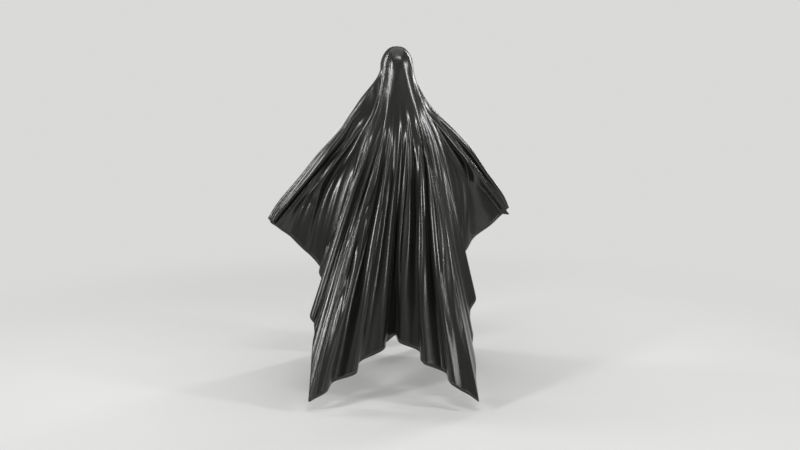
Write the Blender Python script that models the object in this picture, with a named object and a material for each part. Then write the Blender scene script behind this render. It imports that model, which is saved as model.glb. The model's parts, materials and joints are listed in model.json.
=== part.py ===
"""A hanging ghost figure: one dark satin sheet draped over a light armature.

Metres, +Z up, and the figure faces -Y, so its own left arm is on +X. The origin is the centre of
the hanging eye inside the crown, from which the whole figure hangs.
"""

import math

import bmesh
import bpy
import numpy as np
from mathutils import Vector

# Fits
GAP = 0.0003  # between pieces that touch
SLIP = 0.0003  # radial clearance of a rod or a tube in its socket

# Hanging rod: one bent steel rod, with an eye at the top and a nut below the shoulder hub
ROD_DIAMETER = 0.005
EYE_INNER_DIAMETER = 0.011
EYE_OPENING = math.radians(38)  # where the loop's end stops short of the shank
ROD_BELOW_NUT = 0.006
NUT_ACROSS_FLATS = 0.010
NUT_HEIGHT = 0.005
ROD_WASHER_DIAMETER = 0.022
ROD_WASHER_THICKNESS = 0.0015

# Eyelet and its washer, which hold the middle of the sheet on the crown
EYELET_BORE_DIAMETER = 0.010
EYELET_WALL = 0.0008
EYELET_FLANGE_DIAMETER = 0.021
EYELET_LIP_DIAMETER = 0.0165
CROWN_WASHER_DIAMETER = 0.034
CROWN_WASHER_THICKNESS = 0.001
CROWN_FLAT_MARGIN = 0.003  # of the sheet's flat middle, past the washer

# Head form: a turned foam ovoid
HEAD_WIDTH = 0.164
HEAD_DEPTH = 0.188
HEAD_HEIGHT = 0.226
HEAD_BASE_DIAMETER = 0.064
HEAD_SOCKET_DEPTH = 0.030
EYE_POCKET_CLEARANCE = 0.002  # round the eye, in the pocket in the crown
EYE_POCKET_FLOOR = 0.004  # below the eye

# Neck tube
NECK_DIAMETER = 0.032
NECK_WALL = 0.002

# Shoulder hub: a wooden block that carries the arms
HUB_WIDTH = 0.076
HUB_DEPTH = 0.046
HUB_HEIGHT = 0.044
HUB_EDGE = 0.003
HUB_NECK_SEAT = 0.006
HUB_ARM_SOCKET = 0.028
SCREW_DIAMETER = 0.004
SCREW_HEAD_DIAMETER = 0.008
SCREW_HEAD_HEIGHT = 0.003

# Arms: bent aluminium rods, dressed with foam
ARM_ROD_DIAMETER = 0.010
SHOULDER_DROP = 0.312  # from the hanging eye down to the rods in the hub
SHOULDER_REACH = 0.150  # from the middle to the bend over the shoulder
SHOULDER_BEND_RADIUS = 0.045
UPPER_ARM_SLOPE = math.radians(49.5)  # below level
FOREARM_SLOPE = math.radians(50.5)
UPPER_ARM_LENGTH = 0.333
FOREARM_LENGTH = 0.420  # from the elbow to the finger tips
ELBOW_BEND_RADIUS = 0.060
UPPER_ARM_BACK = 0.030  # towards the back, at the elbow
FOREARM_BACK = 0.060  # further towards the back, at the finger tips
SHOULDER_PAD_DIAMETER = 0.078
SHOULDER_PAD_LENGTH = 0.070
UPPER_SLEEVE_DIAMETER = 0.064
ELBOW_SLEEVE_DIAMETER = 0.054
WRIST_SLEEVE_DIAMETER = 0.040
SLEEVE_END_SPACE = 0.010  # from a sleeve to the nearest bend or hand
HAND_LENGTH = 0.115
HAND_WIDTH = 0.060
HAND_THICKNESS = 0.036
HAND_SOCKET_DEPTH = 0.045

# Sheet: cut as a rectangle, with its middle on the crown
SHEET_WIDTH = 2.30  # from hand to hand
SHEET_LENGTH = 3.10  # from the front hem to the back hem
SHEET_CORNER_RADIUS = 0.03
SHEET_THICKNESS = 0.002
FORM_CLEARANCE = 0.005  # from the sheet's middle surface to what it lies on
ARM_WRAP = math.radians(11)  # the sector of the sheet from the arm's top to its side
SLEEVE_DIRECTION = math.radians(18.5)  # from the side towards the corner
WING_DIRECTION = math.radians(29)
SKIRT_DIRECTION = math.radians(41)
HEAD_SPREAD = math.radians(8)  # on the head, from the arm's top line to its side lines
NECK_STEP = (0.016, 0.045)  # out and down, from the head's side to the neck
SHOULDER_FULLNESS = {1: 0, -1: 0.026}  # where the cloth stands off the shoulder, by side
FULLNESS_SHARES = (0.3, 1.0, 0.7, 0.2)  # of that, from the neck to the upper arm's middle
SLEEVE_OUT = 0.012  # from the arm's side, where the cloth hangs below the arm
BELOW_HAND_OUT = 0.020  # sideways, where it hangs between the arm and the hem
SLEEVE_DROPS = (0.010, 0.030, 0.060, 0.090)  # below the arm's side, from shoulder to elbow
PLEATS = 29  # round the whole figure
PLEAT_DEPTH = 0.75  # of the deepest pleats, for each metre between two of them
PLEAT_START = 0.30  # distance along the cloth from the crown
PLEAT_FULL = 0.80
PLEAT_SAMPLE = 0.004  # radians, and share of the way, over which the surface's slope is taken
BELOW_ARM = math.radians(26)  # where the hollow below each arm flattens the pleats
BELOW_ARM_SPREAD = math.radians(11)
BELOW_ARM_FLATTENING = 0.65
SLOPE_LIMIT = 1.4  # of the cloth's turn at a guide, to the smaller of its turns beside it
CORNER_SPREAD = math.radians(9)  # where the pleats flatten, round each corner of the sheet
CORNER_FLATTENING = 0.75
HEM_FLATTENING = 0.40  # of the pleats of the front and the back, at the hem
CREASE_START = 0.45  # share of the way to the hem, where the sheet's diagonals start to crease

# Where the cloth passes the body on its way from the neck to the hem: out from the middle, to
# the front or the back, and above the arms' rods
WING_PASSES = ((0.118, 0.080, 0.037), (0.180, 0.100, -0.108), (0.240, 0.110, -0.288))
SKIRT_PASSES = ((0.098, 0.100, 0.022), (0.170, 0.130, -0.168))
CORNER_PASSES = ((0.082, 0.112, 0.012), (0.125, 0.145, -0.168))
FACE_PASSES = ((0, 0.118, 0.022), (0, 0.145, -0.118))

# Where the hem hangs. The cloth's own length ends it there or just past it
HEM_REACH = 0.570  # of the furthest corner, to the side
HEM_AHEAD = 0.660  # of the foremost corner
HEM_DROP = 1.700  # of the lowest corner, below the eye

# Each place's shares of these three, by side (+X or -X) and face (-Y or +Y)
CORNER_ENDS = {
    (-1, -1): (1.000, 0.682, 0.982),
    (1, -1): (0.377, 1.000, 0.959),
    (1, 1): (0.667, 0.742, 1.000),
    (-1, 1): (0.509, 0.803, 1.000),
}
SLEEVE_ENDS = {
    (-1, -1): (0.895, 0.000, 0.629),
    (1, -1): (0.702, 0.030, 0.594),
    (1, 1): (0.798, 0.212, 0.612),
    (-1, 1): (0.842, 0.227, 0.624),
}
WING_ENDS = {
    (-1, -1): (0.754, 0.197, 0.724),
    (1, -1): (0.561, 0.242, 0.694),
    (1, 1): (0.632, 0.273, 0.706),
    (-1, 1): (0.667, 0.273, 0.718),
}
SKIRT_ENDS = {
    (-1, -1): (0.930, 0.470, 0.818),
    (1, -1): (0.553, 0.485, 0.835),
    (1, 1): (0.649, 0.515, 0.835),
    (-1, 1): (0.526, 0.485, 0.835),
}
FACE_ENDS = {(-1, -1): (0.105, 0.326, 0.882), (1, 1): (0.018, 0.348, 0.882)}

# How finely the sheet is divided: sectors round it, from the crown outwards, and rings along it
SECTORS = (48, 96, 192)
RINGS = (0.036, 0.062, 0.095, 0.130, 0.170, 0.215, 0.270, 0.335, 0.420, 0.520, 0.640,
         0.780, 0.930, 1.070)
RING_OF_FIRST_DIVISION = 8
RING_OF_SECOND_DIVISION = 10

# Sizes that follow from those above
EYE_RADIUS = (EYE_INNER_DIAMETER + ROD_DIAMETER) / 2
EYE_OUTSIDE = EYE_RADIUS + ROD_DIAMETER / 2
EYELET_OUTSIDE = EYELET_BORE_DIAMETER / 2 + EYELET_WALL
CROWN_SEAT = EYE_OUTSIDE + EYELET_WALL + 3 * GAP
CROWN_SEAT_RADIUS = CROWN_WASHER_DIAMETER / 2 + 3 * GAP
CROWN_WASHER_TOP = CROWN_SEAT + GAP + CROWN_WASHER_THICKNESS
SHEET_CROWN = CROWN_WASHER_TOP + GAP + SHEET_THICKNESS / 2
SHEET_HOLE_RADIUS = EYELET_OUTSIDE + SLIP
EYE_POCKET_RADIUS = EYE_OUTSIDE + EYE_POCKET_CLEARANCE
HEAD_CENTRE = CROWN_SEAT - HEAD_HEIGHT / 2 * math.sqrt(
    1 - (2 * CROWN_SEAT_RADIUS / HEAD_WIDTH) ** 2)
HEAD_BASE = HEAD_CENTRE - HEAD_HEIGHT / 2 * math.sqrt(
    1 - (HEAD_BASE_DIAMETER / HEAD_WIDTH) ** 2)
HEAD_SOCKET_TOP = HEAD_BASE + HEAD_SOCKET_DEPTH
CORNER_DIRECTION = math.atan2(SHEET_LENGTH, SHEET_WIDTH)
HUB_TOP = -SHOULDER_DROP + HUB_HEIGHT / 2
HUB_BOTTOM = -SHOULDER_DROP - HUB_HEIGHT / 2
NUT_TOP = HUB_BOTTOM - 2 * GAP - ROD_WASHER_THICKNESS
ARM_SOCKET_END = HUB_WIDTH / 2 - HUB_ARM_SOCKET


def clear_scene():
    for old in list(bpy.data.objects):
        bpy.data.objects.remove(old, do_unlink=True)


def material(name, colour, roughness, metallic=0.0):
    made = bpy.data.materials.new(name)
    made.use_nodes = True
    shader = made.node_tree.nodes["Principled BSDF"]
    shader.inputs["Base Color"].default_value = (*colour, 1)
    shader.inputs["Roughness"].default_value = roughness
    shader.inputs["Metallic"].default_value = metallic
    return made


def link(name, data, finish=None):
    piece = bpy.data.objects.new(name, data)
    bpy.context.scene.collection.objects.link(piece)
    if finish:
        data.materials.append(finish)
    return piece


def mesh_piece(name, bm, finish=None):
    """Turn a bmesh into an object, with its round faces shaded smooth."""
    bmesh.ops.remove_doubles(bm, verts=bm.verts, dist=1e-6)
    bmesh.ops.recalc_face_normals(bm, faces=bm.faces)
    mesh = bpy.data.meshes.new(name)
    bm.to_mesh(mesh)
    bm.free()
    mesh.shade_smooth()
    mesh.set_sharp_from_angle(angle=math.radians(35))
    return link(name, mesh, finish)


def spun(profile, segments, closed):
    """A bmesh of a profile of (radius, height), spun round Z. A closed one goes round a bore."""
    bm = bmesh.new()
    points = [bm.verts.new((radius, 0, height)) for radius, height in profile]
    ends = points[1:] + points[:1] if closed else points[1:]
    edges = [bm.edges.new(pair) for pair in zip(points, ends)]
    bmesh.ops.spin(bm, geom=points + edges, cent=(0, 0, 0), axis=(0, 0, 1),
                   angle=math.tau, steps=segments, use_merge=True)
    return bm


def turned(name, profile, finish, segments=24, closed=True):
    return mesh_piece(name, spun(profile, segments, closed), finish)


def tube_profile(inner, outer, low, high):
    return [(inner, low), (outer, low), (outer, high), (inner, high)]


def cutter(name, radius, length, location, direction):
    """A hidden cylinder from location along direction, for cutting a round hole."""
    bm = spun([(0, 0), (radius, 0), (radius, length), (0, length)], segments=16, closed=False)
    tool = mesh_piece(name, bm)
    tool.location = location
    tool.rotation_euler = Vector(direction).to_track_quat("Z", "Y").to_euler()
    tool.hide_render = True
    tool.display_type = "WIRE"
    return tool


def cut(piece, tool):
    hole = piece.modifiers.new(tool.name, "BOOLEAN")
    hole.operation = "DIFFERENCE"
    hole.solver = "EXACT"
    hole.object = tool


def rod_piece(name, points, diameter, finish, resolution=2):
    """A round rod along a line of points, with filled ends."""
    curve = bpy.data.curves.new(name, "CURVE")
    curve.dimensions = "3D"
    curve.bevel_depth = diameter / 2
    curve.bevel_resolution = resolution
    curve.use_fill_caps = True
    spline = curve.splines.new("POLY")
    spline.points.add(len(points) - 1)
    for target, point in zip(spline.points, points):
        target.co = (*point, 1)
    return link(name, curve, finish)


def bent_line(corners, radii, steps=6):
    """The line through the corners, with a round bend at each of the inner ones."""
    line = [Vector(corners[0])]
    for before, corner, after, radius in zip(corners, corners[1:], corners[2:], radii):
        back = (Vector(before) - Vector(corner)).normalized()
        ahead = (Vector(after) - Vector(corner)).normalized()
        half = back.angle(ahead) / 2
        centre = Vector(corner) + (back + ahead).normalized() * radius / math.sin(half)
        first = Vector(corner) + back * radius / math.tan(half) - centre
        last = Vector(corner) + ahead * radius / math.tan(half) - centre
        for step in range(steps + 1):
            spoke = first.normalized().slerp(last.normalized(), step / steps)
            line.append(centre + spoke * radius)
    line.append(Vector(corners[-1]))
    return line


def bend_length(before, corner, after, radius):
    """How far a bend's ends lie from its corner."""
    back = (Vector(before) - Vector(corner)).normalized()
    ahead = (Vector(after) - Vector(corner)).normalized()
    return radius / math.tan(back.angle(ahead) / 2)


def arm_corners(side):
    """The arm rod's corners: in the hub, over the shoulder, at the elbow, and in the finger tips."""
    shoulder = Vector((side * SHOULDER_REACH, 0, -SHOULDER_DROP))
    upper = Vector((side * math.cos(UPPER_ARM_SLOPE), 0, -math.sin(UPPER_ARM_SLOPE)))
    fore = Vector((side * math.cos(FOREARM_SLOPE), 0, -math.sin(FOREARM_SLOPE)))
    elbow = shoulder + upper * UPPER_ARM_LENGTH
    elbow.y += UPPER_ARM_BACK
    tip = elbow + fore * FOREARM_LENGTH
    tip.y += FOREARM_BACK
    hub = Vector((side * (ARM_SOCKET_END + GAP), 0, -SHOULDER_DROP))
    return hub, shoulder, elbow, tip


def laid_along(piece, start, direction):
    """Place a piece that was made along Z, with its foot at start."""
    piece.location = start
    piece.rotation_euler = direction.to_track_quat("Z", "Y").to_euler()
    return piece


def hanging_rod(finish):
    """The rod's eye lies in the XZ plane, and its shank runs down through head, neck and hub."""
    bottom = NUT_TOP - NUT_HEIGHT - ROD_BELOW_NUT
    turns = 20
    end_angle = -math.pi / 2 + math.tau - EYE_OPENING
    loop = []
    for step in range(turns + 1):
        angle = -math.pi / 2 + (end_angle + math.pi / 2) * step / turns
        loop.append((EYE_RADIUS * math.cos(angle), 0, EYE_RADIUS * math.sin(angle)))
    shank_top = (0, 0, -EYE_RADIUS - ROD_DIAMETER)
    return rod_piece("hanging_rod", [(0, 0, bottom), shank_top] + loop[1:], ROD_DIAMETER, finish)


def crown_pieces(brass):
    """The eyelet clasps the sheet and the washer, and the washer lies on the head form's seat."""
    low = CROWN_SEAT - EYELET_WALL
    flange = SHEET_CROWN + SHEET_THICKNESS / 2 + GAP
    bore = EYELET_BORE_DIAMETER / 2
    turned("crown_eyelet", [
        (bore, low), (EYELET_LIP_DIAMETER / 2, low), (EYELET_LIP_DIAMETER / 2, CROWN_SEAT),
        (EYELET_OUTSIDE, CROWN_SEAT), (EYELET_OUTSIDE, flange),
        (EYELET_FLANGE_DIAMETER / 2, flange),
        (EYELET_FLANGE_DIAMETER / 2 - EYELET_WALL, flange + EYELET_WALL),
        (bore + EYELET_WALL / 2, flange + EYELET_WALL), (bore, flange + EYELET_WALL / 2),
    ], brass)
    turned("crown_washer", tube_profile(
        EYELET_OUTSIDE + SLIP, CROWN_WASHER_DIAMETER / 2, CROWN_SEAT + GAP, CROWN_WASHER_TOP,
    ), brass)


def head_form(foam):
    """An ovoid with a flat seat on top, a pocket for the eye and a socket for the neck tube."""
    first = math.asin(2 * CROWN_SEAT_RADIUS / HEAD_WIDTH)
    last = math.pi - math.asin(HEAD_BASE_DIAMETER / HEAD_WIDTH)
    steps = 10
    skin = []
    for step in range(steps + 1):
        angle = first + (last - first) * step / steps
        skin.append((HEAD_WIDTH / 2 * math.sin(angle),
                     HEAD_CENTRE + HEAD_HEIGHT / 2 * math.cos(angle)))
    pocket_floor = -EYE_OUTSIDE - EYE_POCKET_FLOOR
    bore = ROD_DIAMETER / 2 + SLIP
    socket = NECK_DIAMETER / 2 + SLIP
    profile = [(EYE_POCKET_RADIUS, CROWN_SEAT)] + skin + [
        (socket, HEAD_BASE), (socket, HEAD_SOCKET_TOP), (bore, HEAD_SOCKET_TOP),
        (bore, pocket_floor), (EYE_POCKET_RADIUS, pocket_floor)]
    bm = spun(profile, 24, closed=True)
    for vert in bm.verts:
        if vert.co.xy.length > max(CROWN_SEAT_RADIUS, socket) + GAP:
            vert.co.y *= HEAD_DEPTH / HEAD_WIDTH
    mesh_piece("head_form", bm, foam)


def neck_tube(plastic):
    outer = NECK_DIAMETER / 2
    turned("neck_tube", tube_profile(
        outer - NECK_WALL, outer, HUB_TOP - HUB_NECK_SEAT + GAP, HEAD_SOCKET_TOP - GAP), plastic)


def shoulder_hub(wood):
    """A block bored down its middle, with a seat for the neck and a socket for each arm."""
    bm = bmesh.new()
    bmesh.ops.create_cube(bm, size=1)
    bmesh.ops.scale(bm, vec=(HUB_WIDTH, HUB_DEPTH, HUB_HEIGHT), verts=bm.verts)
    bmesh.ops.bevel(bm, geom=bm.edges, offset=HUB_EDGE, segments=1, affect="EDGES", profile=0.5)
    bmesh.ops.translate(bm, vec=(0, 0, -SHOULDER_DROP), verts=bm.verts)
    hub = mesh_piece("shoulder_hub", bm, wood)
    over = 0.01
    cut(hub, cutter("rod_bore", ROD_DIAMETER / 2 + SLIP, HUB_HEIGHT + 2 * over,
                    (0, 0, HUB_BOTTOM - over), (0, 0, 1)))
    cut(hub, cutter("neck_seat", NECK_DIAMETER / 2 + SLIP, HUB_NECK_SEAT + over,
                    (0, 0, HUB_TOP - HUB_NECK_SEAT), (0, 0, 1)))
    for side, word in ((1, "left"), (-1, "right")):
        cut(hub, cutter("arm_socket_" + word, ARM_ROD_DIAMETER / 2 + SLIP, HUB_ARM_SOCKET + over,
                        (side * ARM_SOCKET_END, 0, -SHOULDER_DROP), (side, 0, 0)))
        cut(hub, cutter("screw_hole_" + word, SCREW_DIAMETER / 2 + SLIP, HUB_DEPTH / 2 + over,
                        (side * screw_place(), 0, -SHOULDER_DROP), (0, 1, 0)))


def screw_place():
    return ARM_SOCKET_END + HUB_ARM_SOCKET / 2


def arm_screw(side, word, steel):
    """A pan-head screw from the hub's back, whose point bears on the arm rod."""
    point = ARM_ROD_DIAMETER / 2 + GAP
    head = HUB_DEPTH / 2 + GAP
    shank = SCREW_DIAMETER / 2
    edge = SCREW_HEAD_HEIGHT / 4
    screw = turned("arm_screw_" + word, [
        (0, point), (shank - edge, point), (shank, point + edge), (shank, head),
        (SCREW_HEAD_DIAMETER / 2, head), (SCREW_HEAD_DIAMETER / 2, head + SCREW_HEAD_HEIGHT - edge),
        (SCREW_HEAD_DIAMETER / 2 - edge, head + SCREW_HEAD_HEIGHT), (0, head + SCREW_HEAD_HEIGHT),
    ], steel, segments=12, closed=False)
    laid_along(screw, (side * screw_place(), 0, -SHOULDER_DROP), Vector((0, 1, 0)))


def rod_fixings(steel):
    """The washer and the nut that hold the hub, the neck and the head on the rod."""
    bore = ROD_DIAMETER / 2 + SLIP
    turned("rod_washer", tube_profile(
        bore, ROD_WASHER_DIAMETER / 2, HUB_BOTTOM - GAP - ROD_WASHER_THICKNESS, HUB_BOTTOM - GAP,
    ), steel)
    bm = spun(tube_profile(bore, NUT_ACROSS_FLATS / math.sqrt(3), NUT_TOP - NUT_HEIGHT, NUT_TOP),
              12, closed=True)
    corners = [vert for vert in bm.verts if vert.co.xy.length > NUT_ACROSS_FLATS / 2]
    for vert in corners:
        angle = math.atan2(vert.co.y, vert.co.x)
        if round(angle / math.radians(30)) % 2:
            vert.co.xy = vert.co.xy.normalized() * NUT_ACROSS_FLATS / 2
    mesh_piece("rod_nut", bm, steel)


def sleeve(name, start, end, first, last, foam):
    """A foam tube round the arm rod, from a first diameter to a last, with rounded ends."""
    length = (end - start).length
    bore = ARM_ROD_DIAMETER / 2 + SLIP
    steps = 5
    skin = []
    for step in range(steps + 1):
        part = step / steps
        crown = math.sin(math.pi * (0.12 + 0.76 * part))
        radius = (first + (last - first) * part) / 2 * (0.72 + 0.28 * crown)
        skin.append((radius, length * part))
    profile = [(bore, 0)] + skin + [(bore, length)]
    laid_along(turned(name, profile, foam, segments=16), start, end - start)


def hand_form(side, word, foam):
    """A mitten-shaped paddle, pushed onto the end of the arm rod."""
    _, _, elbow, tip = arm_corners(side)
    along = (tip - elbow).normalized()
    bore = ARM_ROD_DIAMETER / 2 + SLIP
    steps = 8
    skin = []
    for step in range(1, steps):
        part = step / steps
        radius = math.sin(math.pi * part) ** 0.7 * (1 - 0.25 * part) * HAND_THICKNESS / 2
        skin.append((max(radius, bore * 1.6 if part < 0.5 else 0.004), HAND_LENGTH * part))
    profile = [(0, HAND_SOCKET_DEPTH), (bore, HAND_SOCKET_DEPTH), (bore, 0), (bore * 1.5, 0)]
    bm = spun(profile + skin + [(0, HAND_LENGTH)], 16, closed=False)
    for vert in bm.verts:
        if vert.co.xy.length > bore + GAP:
            spread = HAND_WIDTH / HAND_THICKNESS - 1
            vert.co.y *= 1 + spread * math.sin(math.pi * vert.co.z / HAND_LENGTH)
    hand = mesh_piece("hand_form_" + word, bm, foam)
    laid_along(hand, tip - along * HAND_LENGTH, along)


def arm(side, word, aluminium, foam):
    hub, shoulder, elbow, tip = arm_corners(side)
    upper = (elbow - shoulder).normalized()
    fore = (tip - elbow).normalized()
    wrist = tip - fore * HAND_LENGTH
    rod_end = wrist + fore * (HAND_SOCKET_DEPTH - GAP)
    radii = (SHOULDER_BEND_RADIUS, ELBOW_BEND_RADIUS)
    line = bent_line((hub, shoulder, elbow, rod_end), radii)
    rod_piece("arm_rod_" + word, line, ARM_ROD_DIAMETER, aluminium)
    over_shoulder = bend_length(hub, shoulder, elbow, SHOULDER_BEND_RADIUS)
    over_elbow = bend_length(shoulder, elbow, tip, ELBOW_BEND_RADIUS)
    level = Vector((side, 0, 0))
    pad_end = shoulder - level * (over_shoulder + SLEEVE_END_SPACE / 2)
    sleeve("shoulder_pad_" + word, pad_end - level * SHOULDER_PAD_LENGTH, pad_end,
           SHOULDER_PAD_DIAMETER, SHOULDER_PAD_DIAMETER, foam)
    sleeve("upper_arm_sleeve_" + word, shoulder + upper * (over_shoulder + SLEEVE_END_SPACE),
           elbow - upper * (over_elbow + SLEEVE_END_SPACE),
           UPPER_SLEEVE_DIAMETER, ELBOW_SLEEVE_DIAMETER, foam)
    sleeve("forearm_sleeve_" + word, elbow + fore * (over_elbow + SLEEVE_END_SPACE),
           wrist - fore * GAP, ELBOW_SLEEVE_DIAMETER, WRIST_SLEEVE_DIAMETER, foam)


def head_points(direction):
    """Points over the head form towards a direction, from its crown to below its widest part."""
    reach = 1 / math.hypot(math.cos(direction) / HEAD_WIDTH, math.sin(direction) / HEAD_DEPTH) / 2
    out = reach + FORM_CLEARANCE
    up = HEAD_HEIGHT / 2 + FORM_CLEARANCE
    flat = CROWN_SEAT_RADIUS + CROWN_FLAT_MARGIN
    ahead = Vector((math.cos(direction), math.sin(direction), 0))
    points = [ahead * flat * share + Vector((0, 0, SHEET_CROWN)) for share in (0, 0.5, 1)]
    for angle in (28, 42, 56, 70, 84, 97):
        height = HEAD_CENTRE + up * math.cos(math.radians(angle))
        points.append(ahead * out * math.sin(math.radians(angle)) + Vector((0, 0, height)))
    return points


def arm_line(side, around):
    """A line along the arm's surface, at an angle round it from its top towards the front."""
    _, shoulder, elbow, tip = arm_corners(side)
    level = Vector((side, 0, 0))
    front = Vector((0, -1, 0))
    upper = (elbow - shoulder).normalized()
    fore = (tip - elbow).normalized()
    places = (
        (shoulder, (level + upper).normalized(), SHOULDER_PAD_DIAMETER),
        (shoulder + upper * UPPER_ARM_LENGTH / 4, upper, UPPER_SLEEVE_DIAMETER),
        (shoulder + upper * UPPER_ARM_LENGTH / 2, upper,
         (UPPER_SLEEVE_DIAMETER + ELBOW_SLEEVE_DIAMETER) / 2),
        (elbow, (upper + fore).normalized(), ELBOW_SLEEVE_DIAMETER),
        (elbow + fore * (FOREARM_LENGTH - HAND_LENGTH) / 2, fore,
         (ELBOW_SLEEVE_DIAMETER + WRIST_SLEEVE_DIAMETER) / 2),
        (tip - fore * HAND_LENGTH / 2, fore, HAND_THICKNESS * 1.3),
        (tip, fore, HAND_THICKNESS),
    )
    line = []
    for place, along, diameter in places:
        top = front.cross(along) * side
        spoke = top * math.cos(around) + front * math.sin(around)
        line.append(place + spoke * (diameter / 2 + FORM_CLEARANCE))
    return line


def bearing(side, face, direction):
    """The direction round Z of a direction from the side towards the face."""
    return math.atan2(face * math.sin(direction), side * math.cos(direction))


def hem_place(side, face, ends):
    across, ahead, down = ends[side, face]
    return Vector((side * across * HEM_REACH, face * ahead * HEM_AHEAD, -down * HEM_DROP))


def side_guide(side, around):
    """Over the head, down to the shoulder and along the arm to the hand."""
    direction = 0 if side > 0 else math.pi
    points = head_points(direction - HEAD_SPREAD * math.sin(around) * side)
    neck = points[-1] + Vector((side * NECK_STEP[0], 0, -NECK_STEP[1]))
    line = [neck] + arm_line(side, around)
    for number, share in enumerate(FULLNESS_SHARES):
        line[number] += Vector((side, 0, 0.8)) * SHOULDER_FULLNESS[side] * share
    return points + line


def sleeve_guide(side, face):
    """Over the shoulder and out below the arm, and then down to the hem between hand and body."""
    end = hem_place(side, face, SLEEVE_ENDS)
    line = []
    for place, drop in zip(arm_line(side, -face * math.pi / 2), SLEEVE_DROPS):
        line.append(place + Vector((0, face * SLEEVE_OUT, -drop)))
    below_hand = line[-1].lerp(end, 0.5) + Vector((side * BELOW_HAND_OUT, 0, 0))
    return head_points(bearing(side, face, SLEEVE_DIRECTION)) + line + [below_hand, end]


def body_guide(direction, side, face, passes, shares, end):
    """From the neck past the chest or the back, and by shares of the rest of the way to its end."""
    points = head_points(direction)
    for across, ahead, above in passes:
        points.append(Vector((side * across, face * ahead, above - SHOULDER_DROP)))
    last = points[-1]
    return points + [last.lerp(end, share) for share in shares] + [end]


def wing_guide(side, face):
    """In the hollow between the arm and the body."""
    return body_guide(bearing(side, face, WING_DIRECTION), side, face, WING_PASSES, (0.5,),
                      hem_place(side, face, WING_ENDS))


def skirt_guide(side, face):
    """Between the wing and the corner."""
    return body_guide(bearing(side, face, SKIRT_DIRECTION), side, face, SKIRT_PASSES,
                      (0.35, 0.70), hem_place(side, face, SKIRT_ENDS))


def corner_guide(side, face):
    """Out to a corner of the sheet."""
    return body_guide(bearing(side, face, CORNER_DIRECTION), side, face, CORNER_PASSES,
                      (0.40, 0.72), hem_place(side, face, CORNER_ENDS))


def face_guide(face):
    """Over the face or the nape, down the middle of the front or the back."""
    return body_guide(face * math.pi / 2, 0, face, FACE_PASSES, (0.45,),
                      hem_place(face, face, FACE_ENDS))


def smooth_line(points, samples=8):
    """A Catmull-Rom curve through the points, carried on straight for as long as is needed."""
    points = points + [points[-1] + (points[-1] - points[-2]).normalized() * SHEET_LENGTH / 4]
    padded = [points[0] * 2 - points[1]] + points + [points[-1] * 2 - points[-2]]
    line = [points[0]]
    for index in range(1, len(padded) - 2):
        p0, p1, p2, p3 = padded[index - 1:index + 3]
        t1 = max((p1 - p0).length, 1e-6) ** 0.5
        t2 = t1 + max((p2 - p1).length, 1e-6) ** 0.5
        t3 = t2 + max((p3 - p2).length, 1e-6) ** 0.5
        for step in range(1, samples + 1):
            t = t1 + (t2 - t1) * step / samples
            a1 = p0.lerp(p1, t / t1)
            a2 = p1.lerp(p2, (t - t1) / (t2 - t1))
            a3 = p2.lerp(p3, (t - t2) / (t3 - t2))
            b1 = a1.lerp(a2, t / t2)
            b2 = a2.lerp(a3, (t - t1) / (t3 - t1))
            line.append(b1.lerp(b2, (t - t1) / (t2 - t1)))
    return line


def hem_distance(direction):
    """How far the flat sheet reaches from its middle, in a direction round Z."""
    across = np.abs(np.cos(direction))
    along = np.abs(np.sin(direction))
    straight = np.minimum(SHEET_WIDTH / 2 / np.maximum(across, 1e-9),
                          SHEET_LENGTH / 2 / np.maximum(along, 1e-9))
    corner_x = SHEET_WIDTH / 2 - SHEET_CORNER_RADIUS
    corner_y = SHEET_LENGTH / 2 - SHEET_CORNER_RADIUS
    at_corner = (straight * across > corner_x) & (straight * along > corner_y)
    reach = across * corner_x + along * corner_y
    inside = SHEET_CORNER_RADIUS ** 2 - corner_x ** 2 - corner_y ** 2 + reach ** 2
    rounded = reach + np.sqrt(np.maximum(inside, 0))
    return np.where(at_corner, rounded, straight)


def cut_to_length(line, length, samples=801):
    """The first length of a line, as evenly spaced points."""
    points = np.array([tuple(point) for point in line])
    steps = np.linalg.norm(np.diff(points, axis=0), axis=1)
    travelled = np.concatenate([[0], np.cumsum(steps)])
    places = np.linspace(0, length, samples)
    return np.stack([np.interp(places, travelled, points[:, axis]) for axis in range(3)], axis=1)


def guides():
    """The sheet's guide lines, each with its direction round Z, in order."""
    found = []
    for side, face in CORNER_ENDS:
        for offset, line in (
            (ARM_WRAP / 2, side_guide(side, -face * math.pi / 4)),
            (ARM_WRAP, side_guide(side, -face * math.pi / 2)),
            (SLEEVE_DIRECTION, sleeve_guide(side, face)),
            (WING_DIRECTION, wing_guide(side, face)),
            (SKIRT_DIRECTION, skirt_guide(side, face)),
            (CORNER_DIRECTION, corner_guide(side, face)),
        ):
            found.append((bearing(side, face, offset) % math.tau, line))
    for side in (1, -1):
        found.append((0 if side > 0 else math.pi, side_guide(side, 0)))
    for face in (1, -1):
        found.append(((face * math.pi / 2) % math.tau, face_guide(face)))
    found.sort(key=lambda guide: guide[0])
    directions = np.array([direction for direction, _ in found])
    lines = [cut_to_length(smooth_line(line), float(hem_distance(direction)))
             for direction, line in found]
    return directions, np.array(lines)


def slopes(steps, widths):
    """The surface's slopes at the guides, kept gentle where the guides turn sharply."""
    before = np.roll(steps, 1, axis=0)
    width_before = np.roll(widths, 1)[:, None, None]
    width = widths[:, None, None]
    mean = (before * width + steps * width_before) / (width + width_before)
    smaller = np.minimum(np.linalg.norm(before, axis=2), np.linalg.norm(steps, axis=2))
    size = np.maximum(np.linalg.norm(mean, axis=2), 1e-9)
    return mean * np.minimum(1, SLOPE_LIMIT * smaller / size)[:, :, None]


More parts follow.
